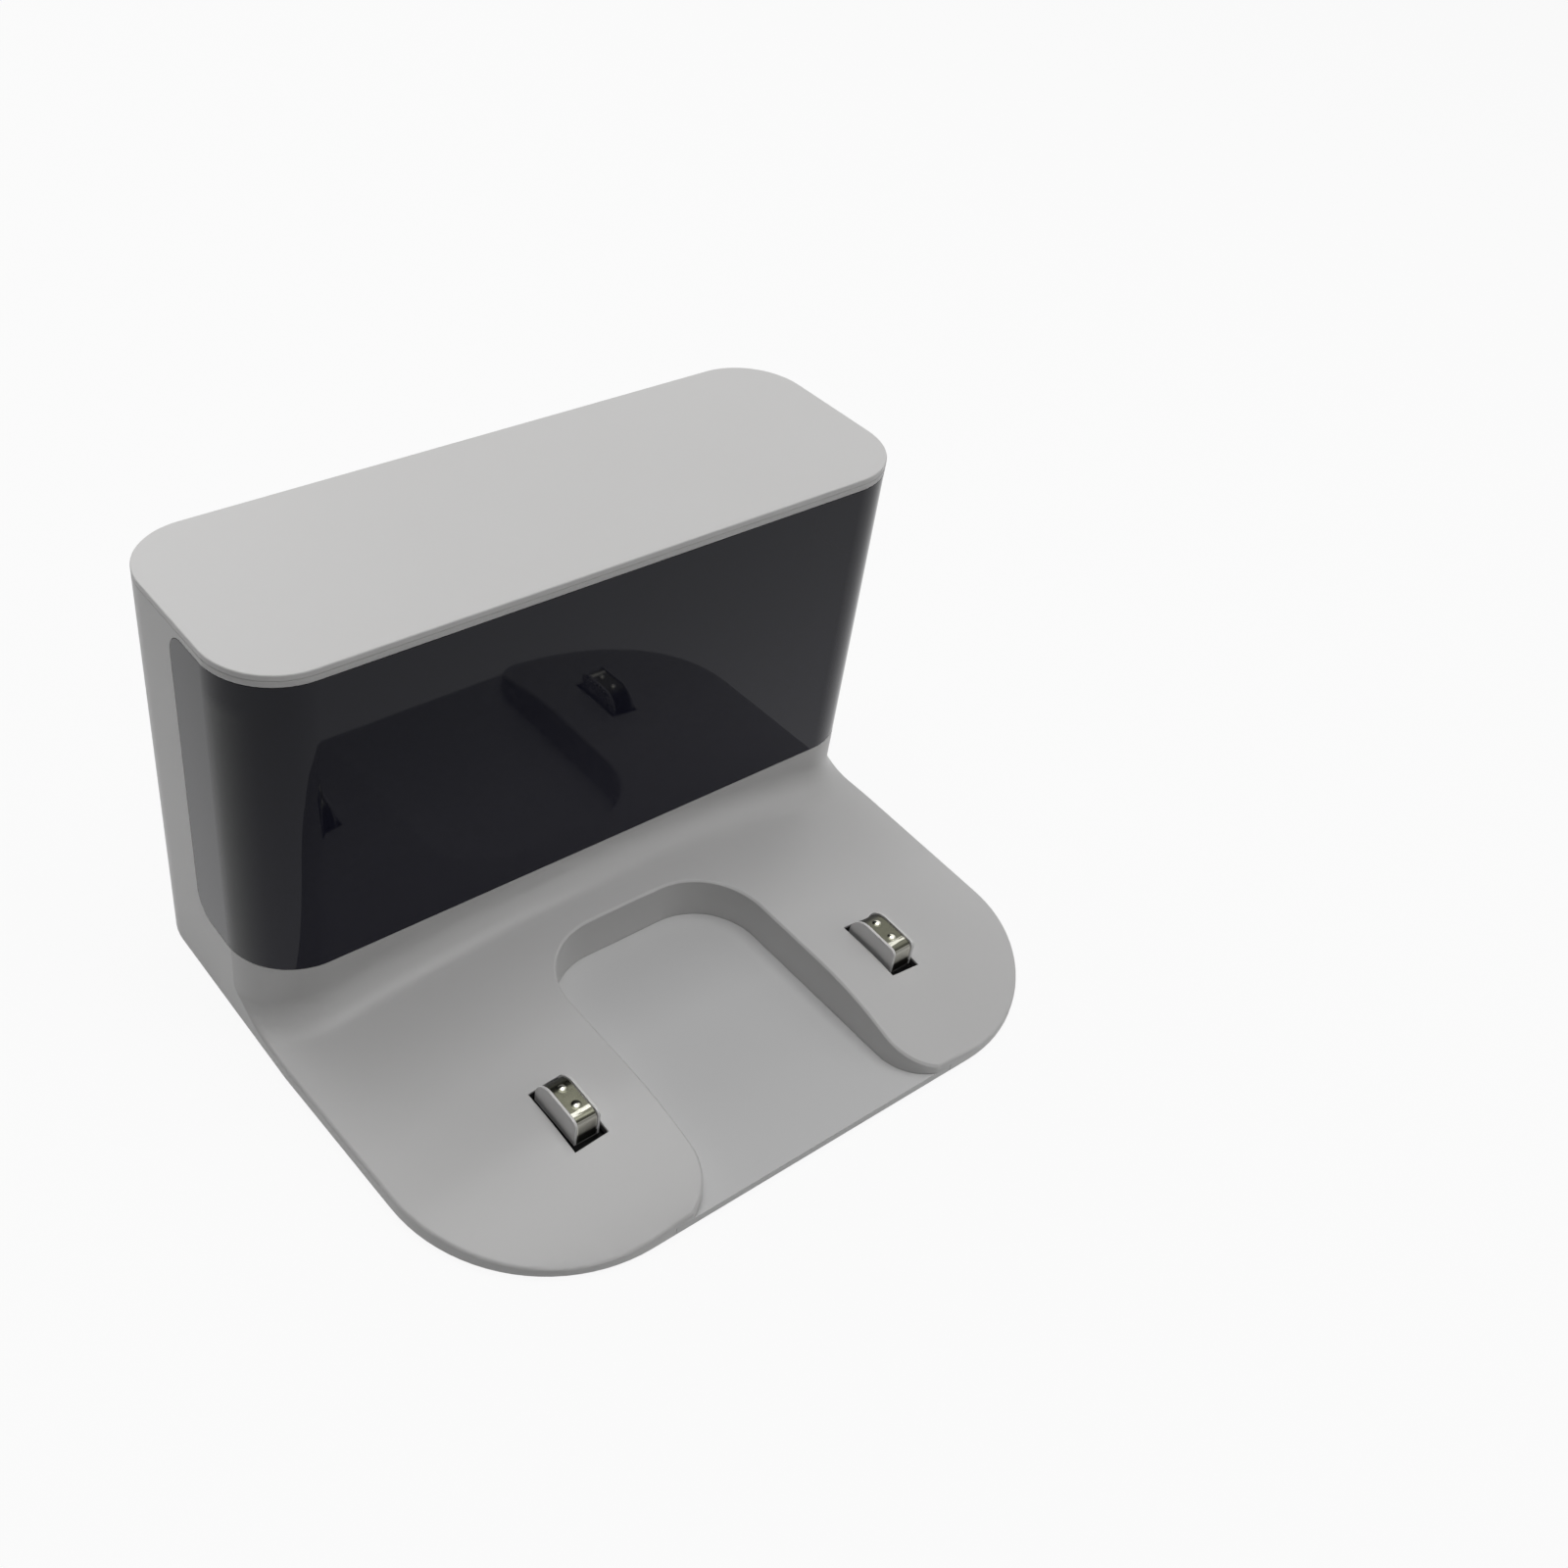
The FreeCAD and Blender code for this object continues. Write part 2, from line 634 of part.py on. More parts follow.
def main_board():
    board = block(-board_width / 2, board_width / 2, board_y, board_y + board_thick,
                  board_z - board_height / 2, board_z + board_height / 2)
    rear = board_y + board_thick
    for x, z, w, h, t in chips:
        z0, z1 = board_z + z - h / 2, board_z + z + h / 2
        board = board.fuse(block(x - w / 2, x + w / 2, rear - 0.2, rear + t, z0, z1))
    return board.removeSplitter()


def infrared_light(x):
    """emitter standing on the board and looking forward through the panel"""
    return rod(led_r, led_length, V(x, board_y, board_z), V(0, -1, 0))


def dc_socket():
    inner = back_y - wall - seat_gap
    body = block(-socket_width / 2, socket_width / 2, inner - socket_length, inner,
                 jack_height - socket_height / 2, jack_height + socket_height / 2)
    body = body.cut(rod(jack_r, jack_depth, V(0, inner - jack_depth, jack_height), V(0, 1, 0)))
    centre = rod(jack_pin_r, jack_depth - 0.5, V(0, inner - jack_depth - 0.5, jack_height), V(0, 1, 0))
    return body.fuse(centre)


def ballast_plate():
    y = (tower_y + back_y) / 2
    return block(-ballast_width / 2, ballast_width / 2, y - ballast_depth / 2, y + ballast_depth / 2,
                 plate_top + seat_gap, plate_top + seat_gap + ballast_thick)


def ribbon(x, wide, thick, bend, route):
    """strip of even thickness, wide across X, along a route of (y, z) points with rounded bends"""
    runs = [V(b[0] - a[0], b[1] - a[1], 0) for a, b in zip(route, route[1:])]
    for run in runs:
        run.normalize()
    sides = {1: [], -1: []}
    for i, (y, z) in enumerate(route):
        first, last = runs[max(i - 1, 0)], runs[min(i, len(runs) - 1)]
        normal = V(-first.y - last.y, first.x + last.x, 0)
        shift = normal * (thick / (1 + first.dot(last)) / 2)
        turn = first.x * last.y - first.y * last.x
        for side, points in sides.items():
            r = bend - math.copysign(thick / 2, side * turn) if abs(turn) > 1e-6 else 0
            points.append((y + side * shift.x, z + side * shift.y, r))
    return side_profile(sides[1] + sides[-1][::-1], x - wide / 2, x + wide / 2)


board_low = board_z - board_height / 2
board_mid_y = board_y + board_thick / 2


def contact_lead(x):
    """flat lead from the bracket's rear edge, along the base plate and up to the board"""
    rear = pivot(x)[0] + ear_behind + 0.1
    z = plate_top + seat_gap + lead_thick / 2
    return ribbon(x, lead_width, lead_thick, lead_bend,
                  [(rear, z), (board_mid_y, z), (board_mid_y, board_low - 0.1)])


def power_lead():
    start = back_y - wall - seat_gap - socket_length - 0.1
    return ribbon(0, lead_width, lead_thick, lead_bend,
                  [(start, jack_height), (board_mid_y, jack_height), (board_mid_y, board_low - 0.1)])


def save(name, shapes):
    solids = []
    for shape in shapes if isinstance(shapes, list) else [shapes]:
        solids += shape.Solids
    for solid in solids:
        if not solid.isValid() or solid.Volume <= 0:
            print("not valid:", name)
    result = solids[0] if len(solids) == 1 else Part.makeCompound(solids)
    result.exportStep("parts/" + name + ".step")
    print(name, len(solids), round(sum(s.Volume for s in solids), 1))


def main():
    os.makedirs("parts", exist_ok=True)
    save("housing", housing())
    save("top_lid", top_lid())
    save("ir_window", ir_window())
    save("base_plate", base_plate())
    save("ballast_plate", ballast_plate())
    save("inner_panel", inner_panel())
    save("main_board", main_board())
    save("dc_socket", dc_socket())
    save("power_lead", power_lead())
    for name, x in zip(("left", "centre", "right"), led_places):
        save(name + "_ir_light", infrared_light(x))
    for name, side in (("left", -1), ("right", 1)):
        x = side * contact_spacing / 2
        save(name + "_contact_carrier", contact_carrier(x))
        save(name + "_contact_strip", contact_strip(x))
        save(name + "_contact_pin", contact_pin(x))
        save(name + "_contact_bracket", contact_bracket(x))
        save(name + "_contact_spring", contact_spring(x))
        save(name + "_contact_lead", contact_lead(x))
    for place, name in zip(pad_places, ("rear_left", "rear_right", "front_left", "front_right")):
        save(name + "_foot", pad(*place, 0, 0, foot_stand + pad_sink))
    seat = foot_stand + screw_head_height
    save("housing_screws", [pan_screw(V(x, y, seat), V(0, 0, 1)) for x, y in screw_places])


main()
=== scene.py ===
# %% [markdown]
# # A charging dock for a robot vacuum
# The dock is a white moulded housing with a low deck in front and a tower behind. The robot drives up
# to it, its front wheel rolls into the bay, and two sprung metal contacts touch the plates under it.
# A dark window wraps round the tower and lets the infrared guide lights through.
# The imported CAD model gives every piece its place, so this lesson is about surfaces, finishes and light.

# %% Tools and the fixed frame
import json
import math

import bmesh
import bpy
import numpy as np
from mathutils import Matrix, Vector

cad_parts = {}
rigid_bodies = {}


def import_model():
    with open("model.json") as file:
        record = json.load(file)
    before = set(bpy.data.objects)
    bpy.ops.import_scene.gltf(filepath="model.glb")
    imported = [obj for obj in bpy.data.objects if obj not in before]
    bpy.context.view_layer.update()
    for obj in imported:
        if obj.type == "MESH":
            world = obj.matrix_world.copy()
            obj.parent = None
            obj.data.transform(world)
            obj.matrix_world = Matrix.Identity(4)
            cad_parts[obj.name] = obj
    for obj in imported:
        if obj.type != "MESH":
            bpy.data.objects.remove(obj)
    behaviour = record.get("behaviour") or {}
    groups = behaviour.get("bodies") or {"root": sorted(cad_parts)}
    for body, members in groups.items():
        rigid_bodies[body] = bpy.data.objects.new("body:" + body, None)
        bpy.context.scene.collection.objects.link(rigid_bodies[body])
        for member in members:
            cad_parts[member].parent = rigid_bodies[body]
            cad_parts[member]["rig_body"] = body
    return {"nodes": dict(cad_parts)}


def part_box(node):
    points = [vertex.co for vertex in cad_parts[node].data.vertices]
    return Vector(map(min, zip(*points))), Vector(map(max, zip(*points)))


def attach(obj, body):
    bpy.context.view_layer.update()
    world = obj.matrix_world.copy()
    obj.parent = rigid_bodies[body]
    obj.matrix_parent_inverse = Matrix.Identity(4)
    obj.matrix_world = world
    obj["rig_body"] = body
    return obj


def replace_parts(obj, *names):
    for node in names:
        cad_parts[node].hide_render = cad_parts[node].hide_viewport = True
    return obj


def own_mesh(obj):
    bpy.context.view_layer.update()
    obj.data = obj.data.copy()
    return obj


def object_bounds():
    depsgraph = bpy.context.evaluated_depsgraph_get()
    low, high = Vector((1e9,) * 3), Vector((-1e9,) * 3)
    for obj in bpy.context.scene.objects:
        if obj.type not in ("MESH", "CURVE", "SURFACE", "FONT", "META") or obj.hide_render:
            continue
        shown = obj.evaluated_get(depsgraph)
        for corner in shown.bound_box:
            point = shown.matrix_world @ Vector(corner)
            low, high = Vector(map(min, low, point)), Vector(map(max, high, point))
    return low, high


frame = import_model()
cad_low, cad_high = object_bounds()
nodes = frame["nodes"]
MM = 0.001
print("CAD nodes:", len(nodes), "box in mm:", [round(s / MM, 1) for s in cad_high - cad_low])

# %% [markdown]
# ## The camera
# The photograph was taken from the front left and well above the dock. Its focal length, place and
# three turns were found by laying the dock's known edges over the picture, so here they are only values.
# The picture was cropped off-centre, which a lens shift repeats without turning the camera. The shift is
# kept smaller than the crop by itself would need, so that the dock also stays in frame from other sides.
# A small helper, which the meshes and lamps use too, links what is made to the scene.

# %% New objects
def placed(name, data):
    """new object that holds data, linked to the scene"""
    made = bpy.data.objects.new(name, data)
    bpy.context.scene.collection.objects.link(made)
    return made


# %% Camera
PICTURE = 1600
focal_px = 1763.2
yaw, pitch, roll = (math.radians(a) for a in (-41.825, 40.942, 6.864))
eye = Vector((-198.86, -228.71, 313.39)) * MM
centre_px = (670.0, 813.4)

forward = Vector((-math.sin(yaw) * math.cos(pitch), math.cos(yaw) * math.cos(pitch), -math.sin(pitch)))
level = Vector((math.cos(yaw), math.sin(yaw), 0))
upright = level.cross(forward)
right = math.cos(roll) * level + math.sin(roll) * upright
up = math.cos(roll) * upright - math.sin(roll) * level

lens = bpy.data.cameras.new("camera")
lens.sensor_width = 36.0
lens.lens = lens.sensor_width * focal_px / PICTURE
lens.shift_x = (PICTURE / 2 - centre_px[0]) / PICTURE
lens.shift_y = (centre_px[1] - PICTURE / 2) / PICTURE
lens.clip_start, lens.clip_end = 0.01, 50.0
camera = placed("camera", lens)
camera.matrix_world = Matrix.Translation(eye) @ Matrix((right, up, -forward)).transposed().to_4x4()
bpy.context.scene.camera = camera
print("lens mm", round(lens.lens, 2), "shift", round(lens.shift_x, 3), round(lens.shift_y, 3))

# %% [markdown]
# ## Shader maths as plain sums
# A finish is mostly arithmetic on patterns: a mask times a colour, a grain plus a scratch. Wrapping a
# node's output in a small class lets Python's own operators add the Math nodes, so each finish below
# reads as a formula. Every other node comes from one method that takes its type, settings and inputs.

# %% Socket arithmetic
class Field:
    """A number that changes over the surface: an output socket with Python's operators on it."""

    def __init__(self, tree, socket):
        self.tree, self.socket = tree, socket

    def __add__(self, other):
        return maths(self.tree, "ADD", self, other)

    def __radd__(self, other):
        return maths(self.tree, "ADD", other, self)

    def __sub__(self, other):
        return maths(self.tree, "SUBTRACT", self, other)

    def __rsub__(self, other):
        return maths(self.tree, "SUBTRACT", other, self)

    def __mul__(self, other):
        return maths(self.tree, "MULTIPLY", self, other)

    def __rmul__(self, other):
        return maths(self.tree, "MULTIPLY", other, self)


def feed(tree, slot, value):
    """links a socket or a Field into slot, or writes a plain value there"""
    if isinstance(value, Field):
        tree.links.new(value.socket, slot)
    elif isinstance(value, bpy.types.NodeSocket):
        tree.links.new(value, slot)
    else:
        slot.default_value = value


def maths(tree, operation, *values, clamp=False):
    """one Math node on numbers or Fields; clamp keeps its result between 0 and 1"""
    node = tree.nodes.new("ShaderNodeMath")
    node.operation, node.use_clamp = operation, clamp
    for slot, value in zip(node.inputs, values):
        feed(tree, slot, value)
    return Field(tree, node.outputs[0])


# %% [markdown]
# ## One class for every finish
# Patterns read Object coordinates, which are metres in the dock's own frame, so a mark on a piece can be
# placed with a ruler and travels with the piece when a joint moves. Noise gives grain, clouds and stains,
# and soft ramps cut out bands. A painted picture could do the same, but rules need no file and stay
# sharp close up. A Bevel node rounds the edges in the light alone, which costs no faces.

# %% Finishes
class Finish:
    """A material, or a sky if kind is World, whose nodes are made by one method."""

    def __init__(self, name, kind="Material"):
        holder = bpy.data.worlds if kind == "World" else bpy.data.materials
        self.kind, self.owner = kind, holder.new(name)
        self.owner.use_nodes = True
        self.tree = self.owner.node_tree
        self.tree.nodes.clear()

    def node(self, kind, settings, numbered=None, **named):
        """a node of that kind: its settings first, then values or links for its sockets, by number or by
        name"""
        made = self.tree.nodes.new("ShaderNode" + kind)
        for name, setting in settings.items():
            setattr(made, name, setting)
        for number, value in (numbered or {}).items():
            feed(self.tree, made.inputs[number], value)
        for name, value in named.items():
            feed(self.tree, made.inputs[name.replace("_", " ")], value)
        return made.outputs

    def where(self):
        """the place on the piece, in metres"""
        return self.node("TexCoord", {})["Object"]

    def noise(self, size, detail=2.0, stretch=(1, 1, 1), rough=0.5):
        """soft noise whose blots are about size metres across; stretch lengthens them along X, Y or Z"""
        scale = [1 / (size * s) for s in stretch]
        point = self.node("Mapping", {}, Vector=self.where(), Scale=scale)["Vector"]
        out = self.node("TexNoise", {}, Vector=point, Scale=1.0, Detail=detail, Roughness=rough)
        return Field(self.tree, out["Fac"])

    def maths(self, operation, *values):
        """one Math node on numbers or Fields"""
        return maths(self.tree, operation, *values)

    def split(self, vector):
        """the three coordinates of a place, as numbers"""
        parts = self.node("SeparateXYZ", {}, Vector=vector)
        return [Field(self.tree, parts[axis]) for axis in "XYZ"]

    def above(self, value, low, high):
        """0 where value is under low and 1 where it is over high, with a soft ramp between"""
        ramp = self.node("MapRange", {"interpolation_type": "SMOOTHSTEP"},
                         Value=value, From_Min=low, From_Max=high)
        return Field(self.tree, ramp["Result"])

    def below(self, value, low, high):
        """1 where value is under low and 0 where it is over high, with a soft ramp between"""
        return 1.0 - self.above(value, low, high)

    def blend(self, share, first, second):
        """colour that goes from first to second as share goes from 0 to 1; the sockets of a Mix node share
        their names, so the colour ones go by number"""
        return self.node("Mix", {"data_type": "RGBA"}, {0: share, 6: first, 7: second})[2]

    def closed(self, shader):
        """the material or sky, with shader as its surface"""
        self.node("Output" + self.kind, {}, Surface=shader)
        return self.owner

    def surface(self, height, depth, edge=0.0, **values):
        """the whole finish; height is a Field raised by depth metres, and edge rounds sharp edges in the
        light by that radius"""
        under = {}
        if edge:
            under["Normal"] = self.node("Bevel", {"samples": 6}, Radius=edge)["Normal"]
        bump = self.node("Bump", {}, Height=height, Distance=depth, Strength=1.0, **under)
        return self.closed(self.node("BsdfPrincipled", {}, Normal=bump["Normal"], **values)["BSDF"])


def grey(level, warm=0.0):
    """a near-grey colour; warm lifts red and lowers blue by that share"""
    return (level * (1 + warm), level, level * (1 - warm), 1.0)


# %% [markdown]
# ## White moulded plastic
# The housing, lid and base plate are white styrene, shaped in a mould with a fine spark-eroded grain. The
# grain is far smaller than a millimetre: it breaks the highlights up without showing as bumps. A second,
# much wider noise shifts colour and gloss a little, as handling does.
# The photograph shows nothing but black in the two contact slots. Lowering the light would darken the
# whole dock, so the slots' walls get painted shade, a near-black colour, by a rule on where they are. The
# rockers under the contacts are a brighter white, and get painted shade at the foot, black by a rule of
# the same kind.

# %% Where the contacts and their slots are
strip_low, strip_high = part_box("right_contact_strip")
contact_x = (strip_low[0] + strip_high[0]) / 2
slot_y = -42.7 * MM
slot_half_length, slot_half_width = 9.15 * MM, 4.45 * MM
slot_deck_z = 11.28 * MM
deck_rise, deck_fall = 0.0462, 0.1216
shade_depth = 0.35 * MM
print("contacts at x in mm: +-", round(contact_x / MM, 2))


def painted_slot_shade(f):
    """share of painted shade on the walls of the two contact slots: 1 there and 0 elsewhere, within a
    slot's plan, and more than shade_depth under the deck there, whose height is slot_deck_z + deck_rise *
    way backwards - deck_fall * way outwards"""
    x, y, z = f.split(f.where())
    aside = f.maths("ABSOLUTE", x)
    across = f.maths("ABSOLUTE", aside - contact_x)
    along = f.maths("ABSOLUTE", y - slot_y)
    in_plan = f.below(across, slot_half_width, slot_half_width + 0.05 * MM)
    in_plan = in_plan * f.below(along, slot_half_length, slot_half_length + 0.05 * MM)
    deck = slot_deck_z + deck_rise * (y - slot_y) - deck_fall * (aside - contact_x)
    return in_plan * f.above(deck - shade_depth - z, 0.0, shade_depth)


# %% White plastics
def white_plastic(name, level, rough, warm, edge, black=None):
    """satin white: slow clouds in colour and gloss, the fine grain of the mould, and painted shade, a grey
    that is nearly black, where black(f) is 1"""
    f = Finish(name)
    cloud = f.noise(32 * MM, detail=3.0)
    grain = f.noise(0.22 * MM, detail=2.0, rough=0.6)
    colour = f.blend(cloud, grey(level * 0.985, warm * 1.3), grey(level * 1.01, warm * 0.8))
    if black:
        # painted shade: the colour goes to a near-black grey where black(f) is 1
        colour = f.blend(black(f), colour, grey(0.05))
    gloss = rough - 0.05 + 0.07 * cloud + 0.05 * grain
    return f.surface(grain, 0.010 * MM, edge, Base_Color=colour, Roughness=gloss, IOR=1.5,
                     Specular_IOR_Level=0.4)


# the housing gets painted shade on the walls of the two contact slots
housing_white = white_plastic("housing_white", 0.60, 0.38, 0.006, 0.4 * MM, painted_slot_shade)
lid_white = white_plastic("lid_white", 0.65, 0.38, 0.008, 0.1 * MM)
base_white = white_plastic("base_white", 0.60, 0.42, 0.000, 0.2 * MM)


# %% Rockers of the contacts
strip_foot = strip_low[2] + 0.05 * MM
strip_half_width = (strip_high[0] - strip_low[0]) / 2 + 0.15 * MM


def rocker_plastic():
    """white above the level of the strip's foot, and black below it and behind the strip's lower end, as
    painted shade
    """
    f = Finish("contact_white")
    cloud = f.noise(6 * MM, detail=3.0)
    grain = f.noise(0.3 * MM, detail=2.0)
    x, y, z = f.split(f.where())
    # painted shade: the rocker is black below the strip's foot, and up to 1.5 mm higher behind the strip's
    # lower end
    white = f.above(z, strip_foot - 0.15 * MM, strip_foot + 0.15 * MM)
    across = f.maths("ABSOLUTE", f.maths("ABSOLUTE", x) - contact_x)
    behind = f.below(across, strip_half_width, strip_half_width + 0.12 * MM)
    white = white * (1.0 - behind * f.below(z, strip_foot + 1.4 * MM, strip_foot + 1.6 * MM))
    pale = f.blend(cloud, grey(0.72, 0.01), grey(0.78, 0.01))
    return f.surface(grain, 0.010 * MM, Base_Color=f.blend(white, grey(0.02), pale),
                     Roughness=0.32 + 0.08 * cloud, IOR=1.5)


contact_white = rocker_plastic()
print("white plastics:", [m.name for m in (housing_white, lid_white, base_white, contact_white)])

# %% [markdown]
# ## The dark window
# To the eye the window is black and polished, like a television's front, although infrared light passes
# it. A smooth dark dielectric does that: nearly no colour of its own, and a mirror image that grows
# towards grazing angles. A breath of dust keeps the gloss from looking computed.
# Clear plastic would be truer, but it renders slowly, and little but the black panel would show behind it.

# %% Window
window_low, window_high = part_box("ir_window")
rib_front = window_low[1] + 4.5 * MM
rib_rear = rib_front + 10.5 * MM


def window_plastic():
    """near-black plastic with a blue cast: a painted reflection makes it a little paler towards the foot,
    and the rib that is moulded inside each rounded corner shows through as a soft upright stripe"""
    f = Finish("window_black")
    x, y, z = f.split(f.where())
    haze = f.noise(9 * MM, detail=4.0, rough=0.65)
    # painted reflection: the colour is a little paler at the foot than at the top
    tone = f.blend(f.above(z, window_low[2], window_high[2]),
                   (0.018, 0.018, 0.030, 1.0), (0.008, 0.0085, 0.0165, 1.0))
    stripe = f.above(y, rib_front, rib_rear - 2 * MM) * f.below(y, rib_rear, rib_rear + 2 * MM)
    stripe = stripe * f.below(z, window_high[2] - 10 * MM, window_high[2] - 5 * MM)
    tone = f.blend(stripe, tone, (0.056, 0.058, 0.060, 1.0))
    waves = f.noise(7 * MM, detail=1.0)
    return f.surface(waves, 0.0015 * MM, Base_Color=tone, Roughness=0.02 + 0.02 * haze,
                     IOR=1.5, Specular_IOR_Level=0.18)


window_black = window_plastic()
print("rib behind the window's corners, y in mm:", round(rib_front / MM, 1), round(rib_rear / MM, 1))


# %% Other dark plastics and rubber
def dark_plastic(name, colour, rough, grain, depth):
    """one even colour, a fine grain, and gloss that changes in soft blots; grain and depth are in
    millimetres"""
    f = Finish(name)
    haze = f.noise(9 * MM, detail=4.0, rough=0.65)
    fine = f.noise(grain * MM, detail=1.0)
    return f.surface(fine, depth * MM, Base_Color=colour, Roughness=rough + 0.05 * haze, IOR=1.5)


panel_black = dark_plastic("panel_black", grey(0.030), 0.55, 0.3, 0.02)
socket_black = dark_plastic("socket_black", grey(0.022), 0.40, 0.3, 0.015)
light_smoke = dark_plastic("light_smoke", (0.06, 0.05, 0.09, 1.0), 0.08, 3.0, 0.001)
lead_black = dark_plastic("lead_black", grey(0.025), 0.45, 0.5, 0.02)
foot_rubber = dark_plastic("foot_rubber", grey(0.16), 0.75, 0.4, 0.03)
dark_plastics = (window_black, panel_black, socket_black, light_smoke, lead_black, foot_rubber)
print("dark plastics:", [m.name for m in dark_plastics])

# %% [markdown]
# ## Metals
# The contact strips are nickel-plated and slightly yellow from use, with fine brushing along the strip.
# Noise that is stretched thirty times along the strip makes the brushing. Painted highlights lie on both
# bumps and along the crest, and the top between them is dark olive, partly tarnish and partly a painted
# reflection of the dark window. Painted shade lies at the rear end and at the foot, a painted dark
# reflection lies in the bend, and the front face is paler. A picture of these marks would have to be
# fitted by hand, so each mark is a band or a disc measured from the strip's ends. The pins, brackets,
# springs and screws are zinc-plated steel, and the ballast is bare rolled steel.

# %% Where the strip gets painted highlights and painted shade
strip_front, strip_rear = strip_low[1], strip_high[1]
bump_places = (0.35, 0.71)
bump_ys = [strip_rear - share * (strip_rear - strip_front) for share in bump_places]
crest_y = strip_front + 2.5 * MM
crest_starts = (crest_y - 0.9 * MM, crest_y - 0.4 * MM)
crest_ends = (crest_y + 0.3 * MM, crest_y + 1.0 * MM)
face_ends = (strip_front + 0.35 * MM, strip_front + 0.6 * MM)
bend_ends = (strip_front + 0.8 * MM, strip_front + 1.3 * MM)
bend_starts = (strip_high[2] - 2.6 * MM, strip_high[2] - 1.2 * MM)
foot_ends = (strip_high[2] - 5.8 * MM, strip_high[2] - 4.6 * MM)
rear_starts = (strip_rear - 4.1 * MM, strip_rear - 2.6 * MM)
print("bumps at y in mm:", [round(y / MM, 2) for y in bump_ys], "crest:", round(crest_y / MM, 2))


# %% Contact strips' plating, with painted highlights and painted shade
def painted_highlights(f, x, y, brush):
    """1 where the painted highlights lie: on a disc over each bump, and in streaks along the crest"""
    beside = f.maths("ABSOLUTE", x) - contact_x
    bump_highlights = 0.0
    for place in bump_ys:
        distance = f.maths("SQRT", beside * beside + (y - place) * (y - place))
        bump_highlights = bump_highlights + f.below(distance, 0.45 * MM, 1.0 * MM)
    streak = f.noise(0.55 * MM, detail=1.0, stretch=(9, 1, 1))
    crest = f.above(y, *crest_starts) * f.below(y, *crest_ends)
    crest = crest * f.above(streak, 0.36, 0.50) * (0.8 + 0.4 * brush)
    return f.maths("MINIMUM", bump_highlights + crest, 1.0)


def contact_plating_with_painted_light(name):
    """plated strip with painted light: painted highlights on both bumps and on the crest in front of them,
    and a dark olive top, partly tarnish and partly a painted reflection of the dark window; painted shade
    lies at the rear end and at the foot, a painted dark reflection in the bend, and the front face is
    paler"""
    f = Finish(name)
    x, y, z = f.split(f.where())
    brush = f.noise(0.10 * MM, detail=2.0, stretch=(1, 30, 30), rough=0.6)
    stain = f.noise(1.6 * MM, detail=3.0)
    # painted highlights: bright plating on both bumps and in streaks along the crest
    highlight_share = painted_highlights(f, x, y, brush)
    front = f.below(y, *face_ends)
    bend = f.above(y, *face_ends) * f.below(y, *bend_ends)
    bend = f.maths("MAXIMUM", bend, front * f.above(z, *bend_starts))
    foot = f.below(z, *foot_ends)
    rear = f.above(y, *rear_starts)
    # painted shade at the rear end and at the foot, and a painted dark reflection in the bend and at the
    # top of the front face
    painted_darkness = f.maths("MAXIMUM", f.maths("MAXIMUM", bend * 0.85, rear * 0.97), foot * 0.97)
    # dark olive top: partly tarnish and stains, partly a painted reflection of the dark window
    tone_under_highlights = f.blend(stain, (0.165, 0.165, 0.125, 1.0), (0.10, 0.10, 0.075, 1.0))
    tone_under_highlights = f.blend(front, tone_under_highlights, (0.50, 0.49, 0.44, 1.0))
    tone_under_highlights = f.blend(painted_darkness, tone_under_highlights, (0.018, 0.018, 0.014, 1.0))
    # the painted highlights are a pale nickel colour over the rest
    colour = f.blend(highlight_share, tone_under_highlights, (0.84, 0.83, 0.72, 1.0))
    gloss = 0.20 + 0.12 * stain - 0.10 * highlight_share + 0.15 * front + 0.35 * rear
    # the rear end is also made rough and barely metallic, so that its painted shade shows no reflection
    return f.surface(brush, 0.003 * MM, Base_Color=colour, Metallic=1.0 - 0.8 * rear, Roughness=gloss)


contact_nickel = contact_plating_with_painted_light("contact_nickel")


# %% Steel
def steel(name, light, dark, rough, grain, stretch=(1, 1, 1)):
    """metal that goes from light to dark by 0.5 * stain + 0.25 * marks; grain is the size of the marks in
    millimetres, and stretch draws them out as rolling does"""
    f = Finish(name)
    marks = f.noise(grain * MM, detail=2.0, stretch=stretch, rough=0.6)
    stain = f.noise(2.6 * MM, detail=3.0)
    colour = f.blend(0.5 * stain + 0.25 * marks, light, dark)
    return f.surface(marks, 0.004 * MM, Base_Color=colour, Metallic=1.0,
                     Roughness=rough + 0.10 * stain + 0.06 * marks)


zinc_steel = steel("zinc_steel", (0.62, 0.63, 0.64, 1.0), (0.48, 0.49, 0.50, 1.0), 0.28, 0.9)
ballast_steel = steel("ballast_steel", (0.36, 0.35, 0.34, 1.0), (0.22, 0.20, 0.19, 1.0), 0.42, 0.4,
                      stretch=(1, 14, 1))
print("metals:", [m.name for m in (contact_nickel, zinc_steel, ballast_steel)])

# %% [markdown]
# ## The circuit board
# The board stands behind the window and isn't seen, so its finish is only a hint: green lacquer, lighter
# where copper lies under it. Noise without finer detail, stretched sideways, stands in for the tracks.

# %% Circuit board
def circuit_board():
    """green lacquer whose colour, height and gloss follow the tracks under it"""
    f = Finish("circuit_board")
    tracks = f.noise(1.8 * MM, detail=0.0, stretch=(6, 1, 0.6))
    colour = f.blend(tracks, (0.012, 0.075, 0.028, 1.0), (0.025, 0.16, 0.06, 1.0))
    return f.surface(tracks, 0.03 * MM, Base_Color=colour, Roughness=0.32 + 0.1 * tracks)


board_green = circuit_board()
print("finishes:", len(bpy.data.materials))

